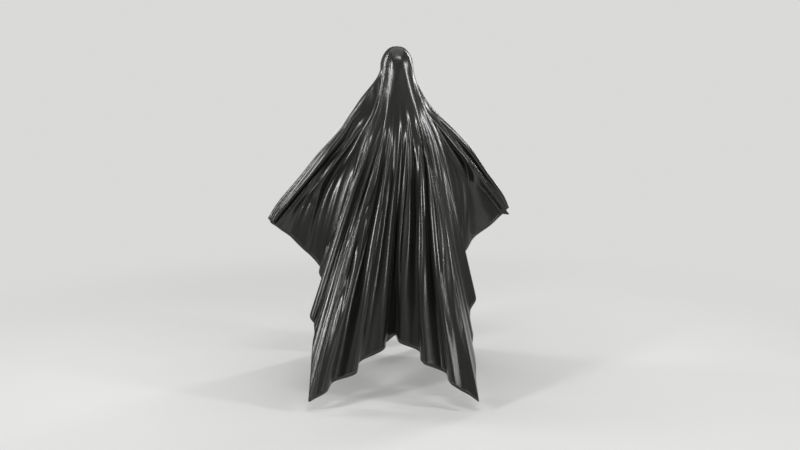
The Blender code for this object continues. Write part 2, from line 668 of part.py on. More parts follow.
def base_surface(frame, direction, part):
    """Points of the smooth surface that the pleats stand on, at a part of the way to the hem."""
    knots, lines = frame
    places = np.linspace(0, 1, lines.shape[1])
    values = np.stack([
        np.stack([np.interp(part, places, line[:, axis]) for axis in range(3)], axis=1)
        for line in lines])
    widths = np.diff(np.append(knots, knots[0] + math.tau))
    steps = (np.roll(values, -1, axis=0) - values) / widths[:, None, None]
    leaning = slopes(steps, widths)
    folded = np.arctan2(np.abs(np.sin(knots)), np.abs(np.cos(knots)))
    creased = (np.abs(folded - CORNER_DIRECTION) < 1e-6) | (np.abs(folded - math.pi / 2) < 1e-6)
    sharp = creased[:, None, None] * ease(CREASE_START, 1, part)[None, :, None]
    leaving = leaning * (1 - sharp) + steps * sharp
    arriving = leaning * (1 - sharp) + np.roll(steps, 1, axis=0) * sharp
    turned_by = (direction - knots[0]) % math.tau + knots[0]
    index = np.searchsorted(knots, turned_by, side="right") - 1
    after = (index + 1) % len(knots)
    rows = np.arange(len(direction))
    width = widths[index][:, None]
    t = ((turned_by - knots[index]) / widths[index])[:, None]
    return (values[index, rows] * (1 + 2 * t) * (1 - t) ** 2
            + leaving[index, rows] * width * t * (1 - t) ** 2
            + values[after, rows] * t * t * (3 - 2 * t)
            + arriving[after, rows] * width * t * t * (t - 1))


def ease(low, high, value):
    t = np.clip((value - low) / (high - low), 0, 1)
    return t * t * (3 - 2 * t)


def draped(frame, direction, distance):
    """Points of the draped sheet, at a distance from its middle in the shortest direction."""
    reach = hem_distance(direction)
    shortest = min(SHEET_WIDTH, SHEET_LENGTH) / 2
    share = distance / shortest
    along = distance + (reach - shortest) * share ** 3
    part = along / reach
    base = base_surface(frame, direction, part)
    across = (base_surface(frame, direction + PLEAT_SAMPLE, part)
              - base_surface(frame, direction - PLEAT_SAMPLE, part)) / (2 * PLEAT_SAMPLE)
    down = (base_surface(frame, direction, np.minimum(part + PLEAT_SAMPLE, 1))
            - base_surface(frame, direction, np.maximum(part - PLEAT_SAMPLE, 0)))
    outward = np.cross(down, across)
    outward /= np.linalg.norm(outward, axis=1)[:, None]
    spread = np.linalg.norm(across, axis=1)
    pitch = spread * math.tau / PLEATS
    spare = np.maximum(along / np.maximum(spread, 1e-6), 1)
    height = np.minimum(pitch / 2 * np.sqrt(spare ** 2 - 1), PLEAT_DEPTH * pitch)
    height = height * ease(PLEAT_START, PLEAT_FULL, along)
    folded = np.arctan2(np.abs(np.sin(direction)), np.abs(np.cos(direction)))
    near_corner = np.exp(-((folded - CORNER_DIRECTION) / CORNER_SPREAD) ** 2)
    below_arm = np.exp(-((folded - BELOW_ARM) / BELOW_ARM_SPREAD) ** 2)
    height = height * (1 - CORNER_FLATTENING * near_corner * ease(0.55, 1, part))
    height = height * (1 - BELOW_ARM_FLATTENING * below_arm)
    at_front_or_back = ease(SKIRT_DIRECTION, CORNER_DIRECTION, folded)
    height = height * (1 - HEM_FLATTENING * at_front_or_back * ease(0.65, 1, part))
    uneven = (0.9 * np.sin(2 * direction + 0.6) + 0.7 * np.sin(5 * direction + 2.2)
              + 0.5 * np.sin(9 * direction + 4.0 + 1.5 * share))
    swell = 0.78 + 0.22 * np.sin(7 * direction + 1.0) * np.cos(3 * direction + 2.0 * share)
    wave = 0.5 + 0.5 * np.cos(PLEATS * direction + uneven)
    return base + outward * (height * swell * wave)[:, None]


def sector_directions(count):
    """Directions round Z that include the sheet's four corners."""
    quarter = count // 4
    to_corner = round(quarter * CORNER_DIRECTION / (math.pi / 2))
    places = np.arange(quarter)
    first = np.where(
        places <= to_corner,
        CORNER_DIRECTION * places / to_corner,
        CORNER_DIRECTION
        + (math.pi / 2 - CORNER_DIRECTION) * (places - to_corner) / (quarter - to_corner))
    second = math.pi - np.append(first, math.pi / 2)[:0:-1]
    half = np.concatenate([first, second])
    return np.concatenate([half, half + math.pi])


def drape_sheet(satin):
    """Rings of points from the eyelet to the hem, with more sectors further out."""
    bm = bmesh.new()
    frame = guides()
    rings = []
    distances = (SHEET_HOLE_RADIUS, CROWN_SEAT_RADIUS) + RINGS + (hem_distance(0),)
    for number, distance in enumerate(distances):
        sectors = SECTORS[(number >= RING_OF_FIRST_DIVISION) + (number >= RING_OF_SECOND_DIVISION)]
        direction = sector_directions(sectors)
        points = draped(frame, direction, np.full(sectors, float(distance)))
        rings.append([bm.verts.new(point) for point in points])
    for inner, outer in zip(rings, rings[1:]):
        for index, vert in enumerate(inner):
            following = inner[(index + 1) % len(inner)]
            if len(inner) == len(outer):
                bm.faces.new((vert, outer[index], outer[(index + 1) % len(outer)], following))
            else:
                middle = outer[2 * index + 1]
                last = outer[(2 * index + 2) % len(outer)]
                bm.faces.new((vert, outer[2 * index], middle))
                bm.faces.new((vert, middle, following))
                bm.faces.new((following, middle, last))
    sheet = mesh_piece("drape_sheet", bm, satin)
    thick = sheet.modifiers.new("cloth", "SOLIDIFY")
    thick.thickness = SHEET_THICKNESS
    thick.offset = 0


def build():
    clear_scene()
    steel = material("zinc_steel", (0.56, 0.57, 0.58), 0.32, 1.0)
    brass = material("blackened_brass", (0.055, 0.052, 0.048), 0.35, 1.0)
    aluminium = material("aluminium_rod", (0.70, 0.71, 0.72), 0.38, 1.0)
    foam = material("grey_foam", (0.16, 0.16, 0.165), 0.85)
    head_foam = material("head_foam", (0.62, 0.62, 0.60), 0.80)
    plastic = material("neck_plastic", (0.10, 0.10, 0.105), 0.45)
    wood = material("hub_wood", (0.45, 0.30, 0.17), 0.60)
    satin = material("dark_satin", (0.030, 0.031, 0.026), 0.28)
    hanging_rod(steel)
    crown_pieces(brass)
    head_form(head_foam)
    neck_tube(plastic)
    shoulder_hub(wood)
    rod_fixings(steel)
    for side, word in ((1, "left"), (-1, "right")):
        arm_screw(side, word, steel)
        arm(side, word, aluminium, foam)
        hand_form(side, word, foam)
    drape_sheet(satin)


build()
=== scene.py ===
"""Looks of a hanging ghost figure: a dark satin sheet over a padded armature, hung by its crown.

Metres, +Z up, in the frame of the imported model: the hanging eye's centre is the origin, and the
figure faces -Y.
"""

import json
import math

import bmesh
import bpy
import numpy as np
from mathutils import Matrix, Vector

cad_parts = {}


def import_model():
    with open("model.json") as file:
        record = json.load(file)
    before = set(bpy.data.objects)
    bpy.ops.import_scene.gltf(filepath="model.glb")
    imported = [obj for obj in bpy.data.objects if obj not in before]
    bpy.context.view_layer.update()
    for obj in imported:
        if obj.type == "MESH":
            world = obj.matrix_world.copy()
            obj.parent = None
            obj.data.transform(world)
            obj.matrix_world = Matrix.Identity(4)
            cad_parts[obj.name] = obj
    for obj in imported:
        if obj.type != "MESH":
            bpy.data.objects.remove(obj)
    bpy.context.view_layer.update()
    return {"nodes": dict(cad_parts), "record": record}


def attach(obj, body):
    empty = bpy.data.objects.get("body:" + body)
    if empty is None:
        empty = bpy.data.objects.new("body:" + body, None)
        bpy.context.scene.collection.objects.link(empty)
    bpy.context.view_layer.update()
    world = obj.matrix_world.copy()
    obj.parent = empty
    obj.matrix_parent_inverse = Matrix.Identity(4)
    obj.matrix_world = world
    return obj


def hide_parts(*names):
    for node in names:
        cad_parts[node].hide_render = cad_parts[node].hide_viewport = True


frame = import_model()

TINY = 1e-6  # smaller than any size or angle that counts here

# Armature under the sheet. These sizes and the sheet's, down to FACE_ENDS, repeat the model's own
HEAD_CENTRE = -0.0981  # height of the head form's middle
HEAD_WIDTH = 0.164
HEAD_DEPTH = 0.188
HEAD_HEIGHT = 0.226
SHOULDER_DROP = 0.312  # from the hanging eye down to the rods in the hub
SHOULDER_REACH = 0.150  # from the middle to the bend over the shoulder
UPPER_ARM_SLOPE = math.radians(49.5)  # below level
FOREARM_SLOPE = math.radians(50.5)
UPPER_ARM_LENGTH = 0.333
FOREARM_LENGTH = 0.420  # from the elbow to the finger tips
UPPER_ARM_BACK = 0.030  # towards the back, at the elbow
FOREARM_BACK = 0.060  # further towards the back, at the finger tips
SHOULDER_PAD_DIAMETER = 0.078
UPPER_SLEEVE_DIAMETER = 0.064
ELBOW_SLEEVE_DIAMETER = 0.054
WRIST_SLEEVE_DIAMETER = 0.040
HAND_LENGTH = 0.115
HAND_THICKNESS = 0.036
PALM_DIAMETER = HAND_THICKNESS * 1.3

# Sheet, as it was cut and as it hangs
SHEET_CROWN = 0.0148  # height of its middle surface at the crown
HOLE_RADIUS = 0.0061  # round the eyelet
CROWN_FLAT = 0.0209  # radius of its flat middle
SHEET_WIDTH = 2.30  # from hand to hand
SHEET_LENGTH = 3.10  # from the front hem to the back hem
SHEET_CORNER_RADIUS = 0.03
FORM_CLEARANCE = 0.005  # from the sheet's middle surface to what it lies on
HEAD_ANGLES = (28, 42, 56, 70, 84, 97)  # degrees from the crown, where guides touch the head
ARM_WRAP = math.radians(11)  # the sector of the sheet from the arm's top to its side
SLEEVE_DIRECTION = math.radians(18.5)  # from the side towards the corner
WING_DIRECTION = math.radians(29)
SKIRT_DIRECTION = math.radians(41)
HEAD_SPREAD = math.radians(8)  # on the head, from the arm's top line to its side lines
NECK_STEP = (0.016, 0.045)  # out and down, from the head's side to the neck
SHOULDER_FULLNESS = {1: 0, -1: 0.026}  # where the cloth stands off the shoulder, by side
FULLNESS_SHARES = (0.3, 1.0, 0.7, 0.2)  # of that, from the neck to the upper arm's middle
FULLNESS_RISE = 0.8  # of the same, upwards
SLEEVE_OUT = 0.012  # from the arm's side, where the cloth hangs below the arm
BELOW_HAND_OUT = 0.020  # sideways, where it hangs between the arm and the hem
SLEEVE_DROPS = (0.010, 0.030, 0.060, 0.090)  # below the arm's side, from shoulder to elbow
PLEATS = 29  # round the whole figure
PLEAT_DEPTH = 0.75  # of the deepest pleats, for each metre between two of them
PLEAT_START = 0.30  # distance along the cloth from the crown
PLEAT_FULL = 0.80
PLEAT_SAMPLE = 0.004  # radians, and share of the way, over which the surface's slope is taken
PLEAT_SHIFTS = ((0.9, 2, 0.6, 0), (0.7, 5, 2.2, 0), (0.5, 9, 4.0, 1.5))  # size, turns, start, drift
PLEAT_SWELL = 0.22  # share by which the pleats' heights vary round the figure
PLEAT_BEAT = (7, 1.0, 3, 2.0)  # turns and start of one wave, turns and drift of the other
BELOW_ARM = math.radians(26)  # where the hollow below each arm flattens the pleats
BELOW_ARM_SPREAD = math.radians(11)
BELOW_ARM_FLATTENING = 0.65
SLOPE_LIMIT = 1.4  # of the cloth's turn at a guide, to the smaller of its turns beside it
CORNER_SPREAD = math.radians(9)  # where the pleats flatten, round each corner of the sheet
CORNER_FLATTENING = 0.75
CORNER_FLATTENS_FROM = 0.55  # share of the way to the hem
HEM_FLATTENING = 0.40  # of the pleats of the front and the back, at the hem
HEM_FLATTENS_FROM = 0.65
CREASE_START = 0.45  # share of the way to the hem, where the sheet's diagonals start to crease
WING_PASSES = ((0.118, 0.080, 0.037), (0.180, 0.100, -0.108), (0.240, 0.110, -0.288))
SKIRT_PASSES = ((0.098, 0.100, 0.022), (0.170, 0.130, -0.168))
CORNER_PASSES = ((0.082, 0.112, 0.012), (0.125, 0.145, -0.168))
FACE_PASSES = ((0, 0.118, 0.022), (0, 0.145, -0.118))
WING_SHARES = (0.5,)  # of the way from the last pass to the hem
SKIRT_SHARES = (0.35, 0.70)
CORNER_SHARES = (0.40, 0.72)
FACE_SHARES = (0.45,)
HEM_REACH = 0.570  # of the furthest corner, to the side
HEM_AHEAD = 0.660  # of the foremost corner
HEM_DROP = 1.700  # of the lowest corner, below the eye
# Places on the hem by side and face, as shares of the reach, the distance ahead and the drop
CORNER_ENDS = {
    (-1, -1): (1.000, 0.682, 0.982),
    (1, -1): (0.377, 1.000, 0.959),
    (1, 1): (0.667, 0.742, 1.000),
    (-1, 1): (0.509, 0.803, 1.000),
}
SLEEVE_ENDS = {
    (-1, -1): (0.895, 0.000, 0.629),
    (1, -1): (0.702, 0.030, 0.594),
    (1, 1): (0.798, 0.212, 0.612),
    (-1, 1): (0.842, 0.227, 0.624),
}
WING_ENDS = {
    (-1, -1): (0.754, 0.197, 0.724),
    (1, -1): (0.561, 0.242, 0.694),
    (1, 1): (0.632, 0.273, 0.706),
    (-1, 1): (0.667, 0.273, 0.718),
}
SKIRT_ENDS = {
    (-1, -1): (0.930, 0.470, 0.818),
    (1, -1): (0.553, 0.485, 0.835),
    (1, 1): (0.649, 0.515, 0.835),
    (-1, 1): (0.526, 0.485, 0.835),
}
FACE_ENDS = {(-1, -1): (0.105, 0.326, 0.882), (1, 1): (0.018, 0.348, 0.882)}
CORNER_DIRECTION = math.atan2(SHEET_LENGTH, SHEET_WIDTH)

# Cloth, which the model leaves to this script
CLOTH_THICKNESS = 0.0006
HEM_WIDTH = 0.016
HEM_LINE = 1 / 900  # half the width of the dark line where the hem is sewn
SECTORS = 1344
FIRST_RING = 0.004  # from the hole's edge
INNER_REACH = 0.255  # from the crown, of the rings that grow wider outwards
INNER_RINGS = 16
OUTER_START = 0.285  # of the even rings
OUTER_RINGS = 29
INNER_DIVISIONS = (0.052, 0.125, INNER_REACH)  # distances where the sectors double
# Fine and wide creases: how many go round, how deep, how far they wander, how much their strength
# varies, from where to where along the cloth they grow, and how much the hem's panels calm them
CREASE_FAMILIES = (
    {"count": 87, "depth": 0.024, "sway": 2.2, "drift": ((2, 5, 9), (1.6, -2.3, 2.9), 0.4),
     "strength": 0.70, "uneven": 0.45, "patches": ((6, 13, 22), (1.9, -2.7, 2.3), 2.3),
     "start": 0.52, "full": 0.88, "calm": 0.9},
    {"count": 53, "depth": 0.054, "sway": 2.6, "drift": ((3, 7, 12), (-2.1, 2.6, -1.7), 5.1),
     "strength": 0.55, "uneven": 0.55, "patches": ((8, 15, 27), (-2.2, 2.9, 1.5), 0.9),
     "start": 0.40, "full": 0.80, "calm": 0.7},
)
WEAKEST_CREASE = 0.1  # share of the depth
TAUT_CREASE = 0.35  # share of the depth where the cloth has no width to spare
PANEL_START = 0.62  # share of the way to the hem
PANEL_FULL = 0.86
CREASE_ROOM = 0.30  # metres of sheet to a radian, below which the creases are shallower
CREASE_ROOM_POWER = 1.5
SLEEVE_GAP = 0.003  # between a crease's bottom and the sleeve or hand inside it
WANDER_STEP = 1.7  # between the starts of a wandering value's waves
WANDER_GAIN = 1.4

# Satin
SLUB_SCALE = (900, 26, 1)  # thread flaws to a metre, across and along the warp
WARP_SCALE = 420.0
WEFT_SCALE = 300.0
SATIN_DARK = (0.010, 0.0105, 0.0085)
SATIN_LIGHT = (0.015, 0.0155, 0.0125)
SATIN_WORN = (0.019, 0.0195, 0.0165)
SATIN_SEAM = (0.006, 0.006, 0.005)
SATIN_ROUGHNESS = 0.19

# Studio
FLOOR_HEIGHT = -1.772
FLOOR_SIZE = 80
FADE_START = 1.7  # from the eye, where the floor starts to fade into the background
FADE_END = 4.2
FLOOR_DARK = (0.60, 0.60, 0.595)
FLOOR_LIGHT = (0.63, 0.63, 0.625)
BACKGROUND = (0.70, 0.70, 0.69)
WORLD_LIGHT = 0.25  # strength of the background as a light

# Camera
CAMERA_TURN = math.radians(-16)  # round Z from the figure's front, towards its right
CAMERA_DISTANCE = 5.57
CAMERA_HEIGHT = 0.02
CAMERA_TILT = math.radians(9.7)  # below level
LENS = 47.25  # millimetres, as is the sensor's width
SENSOR_WIDTH = 36
LENS_SHIFT = 0.004


# Drape: the same smooth surface and pleats as the model's own sheet

def arm_corners(side):
    """The arm's shoulder, elbow and finger tips."""
    shoulder = Vector((side * SHOULDER_REACH, 0, -SHOULDER_DROP))
    upper = Vector((side * math.cos(UPPER_ARM_SLOPE), 0, -math.sin(UPPER_ARM_SLOPE)))
    fore = Vector((side * math.cos(FOREARM_SLOPE), 0, -math.sin(FOREARM_SLOPE)))
    elbow = shoulder + upper * UPPER_ARM_LENGTH
    elbow.y += UPPER_ARM_BACK
    tip = elbow + fore * FOREARM_LENGTH
    tip.y += FOREARM_BACK
    return shoulder, elbow, tip


def head_points(direction):
    """Points over the head form towards a direction, from its crown to below its widest part."""
    reach = 1 / math.hypot(math.cos(direction) / HEAD_WIDTH, math.sin(direction) / HEAD_DEPTH) / 2
    out = reach + FORM_CLEARANCE
    up = HEAD_HEIGHT / 2 + FORM_CLEARANCE
    ahead = Vector((math.cos(direction), math.sin(direction), 0))
    points = [ahead * CROWN_FLAT * share + Vector((0, 0, SHEET_CROWN)) for share in (0, 0.5, 1)]
    for angle in HEAD_ANGLES:
        height = HEAD_CENTRE + up * math.cos(math.radians(angle))
        points.append(ahead * out * math.sin(math.radians(angle)) + Vector((0, 0, height)))
    return points


def arm_line(side, around):
    """A line along the arm's surface, at an angle round it from its top towards the front."""
    shoulder, elbow, tip = arm_corners(side)
    level = Vector((side, 0, 0))
    front = Vector((0, -1, 0))
    upper = (elbow - shoulder).normalized()
    fore = (tip - elbow).normalized()
    places = (
        (shoulder, (level + upper).normalized(), SHOULDER_PAD_DIAMETER),
        (shoulder + upper * UPPER_ARM_LENGTH / 4, upper, UPPER_SLEEVE_DIAMETER),
        (shoulder + upper * UPPER_ARM_LENGTH / 2, upper,
         (UPPER_SLEEVE_DIAMETER + ELBOW_SLEEVE_DIAMETER) / 2),
        (elbow, (upper + fore).normalized(), ELBOW_SLEEVE_DIAMETER),
        (elbow + fore * (FOREARM_LENGTH - HAND_LENGTH) / 2, fore,
         (ELBOW_SLEEVE_DIAMETER + WRIST_SLEEVE_DIAMETER) / 2),
        (tip - fore * HAND_LENGTH / 2, fore, PALM_DIAMETER),
        (tip, fore, HAND_THICKNESS),
    )
    line = []
    for place, along, diameter in places:
        top = front.cross(along) * side
        spoke = top * math.cos(around) + front * math.sin(around)
        line.append(place + spoke * (diameter / 2 + FORM_CLEARANCE))
    return line


def bearing(side, face, direction):
    """The direction round Z of a direction from the side towards the face."""
    return math.atan2(face * math.sin(direction), side * math.cos(direction))


def hem_place(side, face, ends):
    """A guide's end on the hem, in one of the four quarters."""
    across, ahead, down = ends[side, face]
    return Vector((side * across * HEM_REACH, face * ahead * HEM_AHEAD, -down * HEM_DROP))


def side_guide(side, around):
    """Over the head, down to the shoulder and along the arm to the hand."""
    direction = 0 if side > 0 else math.pi
    points = head_points(direction - HEAD_SPREAD * math.sin(around) * side)
    neck = points[-1] + Vector((side * NECK_STEP[0], 0, -NECK_STEP[1]))
    line = [neck] + arm_line(side, around)
    for number, share in enumerate(FULLNESS_SHARES):
        line[number] += Vector((side, 0, FULLNESS_RISE)) * SHOULDER_FULLNESS[side] * share
    return points + line


def sleeve_guide(side, face):
    """Over the shoulder and out below the arm, and then down to the hem between hand and body."""
    end = hem_place(side, face, SLEEVE_ENDS)
    line = []
    for place, drop in zip(arm_line(side, -face * math.pi / 2), SLEEVE_DROPS):
        line.append(place + Vector((0, face * SLEEVE_OUT, -drop)))
    below_hand = line[-1].lerp(end, 0.5) + Vector((side * BELOW_HAND_OUT, 0, 0))
    return head_points(bearing(side, face, SLEEVE_DIRECTION)) + line + [below_hand, end]


def body_guide(direction, side, face, passes, shares, end):
    """From the neck past the chest or the back, and by shares of the rest of the way to its end."""
    points = head_points(direction)
    for across, ahead, above in passes:
        points.append(Vector((side * across, face * ahead, above - SHOULDER_DROP)))
    last = points[-1]
    return points + [last.lerp(end, share) for share in shares] + [end]


def wing_guide(side, face):
    """In the hollow between the arm and the body."""
    return body_guide(bearing(side, face, WING_DIRECTION), side, face, WING_PASSES,
                      WING_SHARES, hem_place(side, face, WING_ENDS))


def skirt_guide(side, face):
    """Between the wing and the corner."""
    return body_guide(bearing(side, face, SKIRT_DIRECTION), side, face, SKIRT_PASSES,
                      SKIRT_SHARES, hem_place(side, face, SKIRT_ENDS))


def corner_guide(side, face):
    """Out to a corner of the sheet."""
    return body_guide(bearing(side, face, CORNER_DIRECTION), side, face, CORNER_PASSES,
                      CORNER_SHARES, hem_place(side, face, CORNER_ENDS))


def face_guide(face):
    """Over the face or the nape, down the middle of the front or the back."""
    return body_guide(face * math.pi / 2, 0, face, FACE_PASSES, FACE_SHARES,
                      hem_place(face, face, FACE_ENDS))


def smooth_line(points, samples=8):
    """A Catmull-Rom curve through the points, carried on straight for as long as is needed."""
    points = points + [points[-1] + (points[-1] - points[-2]).normalized() * SHEET_LENGTH / 4]
    padded = [points[0] * 2 - points[1]] + points + [points[-1] * 2 - points[-2]]
    line = [points[0]]
    for index in range(1, len(padded) - 2):
        p0, p1, p2, p3 = padded[index - 1:index + 3]
        t1 = math.sqrt(max((p1 - p0).length, TINY))
        t2 = t1 + math.sqrt(max((p2 - p1).length, TINY))
        t3 = t2 + math.sqrt(max((p3 - p2).length, TINY))
        for step in range(1, samples + 1):
            t = t1 + (t2 - t1) * step / samples
            a1 = p0.lerp(p1, t / t1)
            a2 = p1.lerp(p2, (t - t1) / (t2 - t1))
            a3 = p2.lerp(p3, (t - t2) / (t3 - t2))
            b1 = a1.lerp(a2, t / t2)
            b2 = a2.lerp(a3, (t - t1) / (t3 - t1))
            line.append(b1.lerp(b2, (t - t1) / (t2 - t1)))
    return line


def hem_distance(direction):
    """How far the flat sheet reaches from its middle, in a direction round Z."""
    across = np.abs(np.cos(direction))
    along = np.abs(np.sin(direction))
    straight = np.minimum(SHEET_WIDTH / 2 / np.maximum(across, TINY),
                          SHEET_LENGTH / 2 / np.maximum(along, TINY))
    corner_x = SHEET_WIDTH / 2 - SHEET_CORNER_RADIUS
    corner_y = SHEET_LENGTH / 2 - SHEET_CORNER_RADIUS
    at_corner = (straight * across > corner_x) & (straight * along > corner_y)
    reach = across * corner_x + along * corner_y
    inside = SHEET_CORNER_RADIUS ** 2 - corner_x ** 2 - corner_y ** 2 + reach ** 2
    rounded = reach + np.sqrt(np.maximum(inside, 0))
    return np.where(at_corner, rounded, straight)


def cut_to_length(line, length, samples=801):
    """The first length of a line, as evenly spaced points."""
    points = np.array([tuple(point) for point in line])
    steps = np.linalg.norm(np.diff(points, axis=0), axis=1)
    travelled = np.concatenate([[0], np.cumsum(steps)])
    places = np.linspace(0, length, samples)
    return np.stack([np.interp(places, travelled, points[:, axis]) for axis in range(3)], axis=1)


def guides():
    """The sheet's guide lines, each with its direction round Z, in order."""
    found = []
    for side, face in CORNER_ENDS:
        for offset, line in (
            (ARM_WRAP / 2, side_guide(side, -face * math.pi / 4)),
            (ARM_WRAP, side_guide(side, -face * math.pi / 2)),
            (SLEEVE_DIRECTION, sleeve_guide(side, face)),
            (WING_DIRECTION, wing_guide(side, face)),
            (SKIRT_DIRECTION, skirt_guide(side, face)),
            (CORNER_DIRECTION, corner_guide(side, face)),
        ):
            found.append((bearing(side, face, offset) % math.tau, line))
    for side in (1, -1):
        found.append((0 if side > 0 else math.pi, side_guide(side, 0)))
    for face in (1, -1):
        found.append(((face * math.pi / 2) % math.tau, face_guide(face)))
    found.sort(key=lambda guide: guide[0])
    directions = np.array([direction for direction, _ in found])
    lines = [cut_to_length(smooth_line(line), float(hem_distance(direction)))
             for direction, line in found]
    return directions, np.array(lines)


def slopes(steps, widths):
    """The surface's slopes at the guides, kept gentle where the guides turn sharply."""
    before = np.roll(steps, 1, axis=0)
    width_before = np.roll(widths, 1)[:, None, None]
    width = widths[:, None, None]
    mean = (before * width + steps * width_before) / (width + width_before)
    smaller = np.minimum(np.linalg.norm(before, axis=2), np.linalg.norm(steps, axis=2))
    size = np.maximum(np.linalg.norm(mean, axis=2), TINY)
    return mean * np.minimum(1, SLOPE_LIMIT * smaller / size)[:, :, None]


def base_surface(lines_round, direction, part):
    """Points of the smooth surface that the pleats stand on, at a part of the way to the hem."""
    knots, lines = lines_round
    places = np.linspace(0, 1, lines.shape[1])
    values = np.stack([
        np.stack([np.interp(part, places, line[:, axis]) for axis in range(3)], axis=1)
        for line in lines])
    widths = np.diff(np.append(knots, knots[0] + math.tau))
    steps = (np.roll(values, -1, axis=0) - values) / widths[:, None, None]
    leaning = slopes(steps, widths)
    folded = from_side(knots)
    creased = (np.abs(folded - CORNER_DIRECTION) < TINY) | (np.abs(folded - math.pi / 2) < TINY)
    sharp = creased[:, None, None] * ease(CREASE_START, 1, part)[None, :, None]
    leaving = leaning * (1 - sharp) + steps * sharp
    arriving = leaning * (1 - sharp) + np.roll(steps, 1, axis=0) * sharp
    turned_by = (direction - knots[0]) % math.tau + knots[0]
    index = np.searchsorted(knots, turned_by, side="right") - 1
    after = (index + 1) % len(knots)
    rows = np.arange(len(direction))
    width = widths[index][:, None]
    t = ((turned_by - knots[index]) / widths[index])[:, None]
    return (values[index, rows] * (1 + 2 * t) * (1 - t) ** 2
            + leaving[index, rows] * width * t * (1 - t) ** 2
            + values[after, rows] * t * t * (3 - 2 * t)
            + arriving[after, rows] * width * t * t * (t - 1))


def ease(low, high, value):
    """A smooth step from 0 at low to 1 at high."""
    t = np.clip((value - low) / (high - low), 0, 1)
    return t * t * (3 - 2 * t)


def along_cloth(direction, distance):
    """How far from the crown a ring lies, when it is that far in the shortest direction."""
    shortest = SHEET_WIDTH / 2
    return distance + (hem_distance(direction) - shortest) * (distance / shortest) ** 3


def pleated(lines_round, direction, distance):
    """Points of the pleated sheet, and how wide a radian of it is there."""
    along = along_cloth(direction, distance)
    part = along / hem_distance(direction)
    share = distance / (SHEET_WIDTH / 2)
    base = base_surface(lines_round, direction, part)
    across = (base_surface(lines_round, direction + PLEAT_SAMPLE, part)
              - base_surface(lines_round, direction - PLEAT_SAMPLE, part)) / (2 * PLEAT_SAMPLE)
    down = (base_surface(lines_round, direction, np.minimum(part + PLEAT_SAMPLE, 1))
            - base_surface(lines_round, direction, np.maximum(part - PLEAT_SAMPLE, 0)))
    outward = np.cross(down, across)
    outward /= np.linalg.norm(outward, axis=1)[:, None]
    spread = np.linalg.norm(across, axis=1)
    pitch = spread * math.tau / PLEATS
    spare = np.maximum(along / np.maximum(spread, TINY), 1)
    height = np.minimum(pitch / 2 * np.sqrt(spare ** 2 - 1), PLEAT_DEPTH * pitch)
    height = height * ease(PLEAT_START, PLEAT_FULL, along)
    folded = from_side(direction)
    near_corner = np.exp(-((folded - CORNER_DIRECTION) / CORNER_SPREAD) ** 2)
    below_arm = np.exp(-((folded - BELOW_ARM) / BELOW_ARM_SPREAD) ** 2)
    cornering = near_corner * ease(CORNER_FLATTENS_FROM, 1, part)
    height = height * (1 - CORNER_FLATTENING * cornering)
    height = height * (1 - BELOW_ARM_FLATTENING * below_arm)
    at_front_or_back = ease(SKIRT_DIRECTION, CORNER_DIRECTION, folded)
    at_hem = at_front_or_back * ease(HEM_FLATTENS_FROM, 1, part)
    height = height * (1 - HEM_FLATTENING * at_hem)
    shift = sum(size * np.sin(turns * direction + start + drift * share)
                for size, turns, start, drift in PLEAT_SHIFTS)
    turns, start, slow_turns, drift = PLEAT_BEAT
    beat = np.sin(turns * direction + start) * np.cos(slow_turns * direction + drift * share)
    swell = 1 - PLEAT_SWELL + PLEAT_SWELL * beat
    wave = 0.5 + 0.5 * np.cos(PLEATS * direction + shift)
    return base + outward * (height * swell * wave)[:, None], spread


def from_side(direction):
    """A direction round Z as its angle from the nearer side, 0 to a quarter turn."""
    return np.arctan2(np.abs(np.sin(direction)), np.abs(np.cos(direction)))


# Creases, which the model's sheet leaves out

def wander(direction, along, turns, rates, start):
    """A smooth, uneven value of about -1 to 1 that closes round the sheet."""
    total = 0
    for number, (turn, rate) in enumerate(zip(turns, rates)):
        phase = start + WANDER_STEP * number ** 2
        total = total + np.sin(turn * direction + rate * along + phase)
    return total / len(turns) * WANDER_GAIN


def rounded_wave(phase):
    """A wave of -3/8 to 5/8 with a mean of 0, narrow crests and wide hollows."""
    return (0.5 + 0.5 * np.cos(phase)) ** 2 - 3 / 8


def crease_family(direction, along, panel, family):
    """How far one family's creases stand out where the cloth is wide and loose, in metres."""
    drift = wander(direction, along, *family["drift"])
    patches = wander(direction, along, *family["patches"])
    strength = np.clip(family["strength"] + family["uneven"] * patches, WEAKEST_CREASE, 1)
    wave = rounded_wave(family["count"] * direction + family["sway"] * drift)
    grown = ease(family["start"], family["full"], along) * (1 - family["calm"] * panel)
    return family["depth"] * strength * wave * grown


def creases(direction, along, spread):
    """How far the creases stand out from the pleats, in metres."""
    part = along / hem_distance(direction)
    panel = (ease(SKIRT_DIRECTION - ARM_WRAP, CORNER_DIRECTION, from_side(direction))
             * ease(PANEL_START, PANEL_FULL, part))
    depth = sum(crease_family(direction, along, panel, family) for family in CREASE_FAMILIES)
    loose = np.clip(along / np.maximum(spread, TINY) - 1, 0, 1)
    room = np.clip(spread / CREASE_ROOM, 0, 1) ** CREASE_ROOM_POWER
    return depth * (TAUT_CREASE + (1 - TAUT_CREASE) * loose) * room


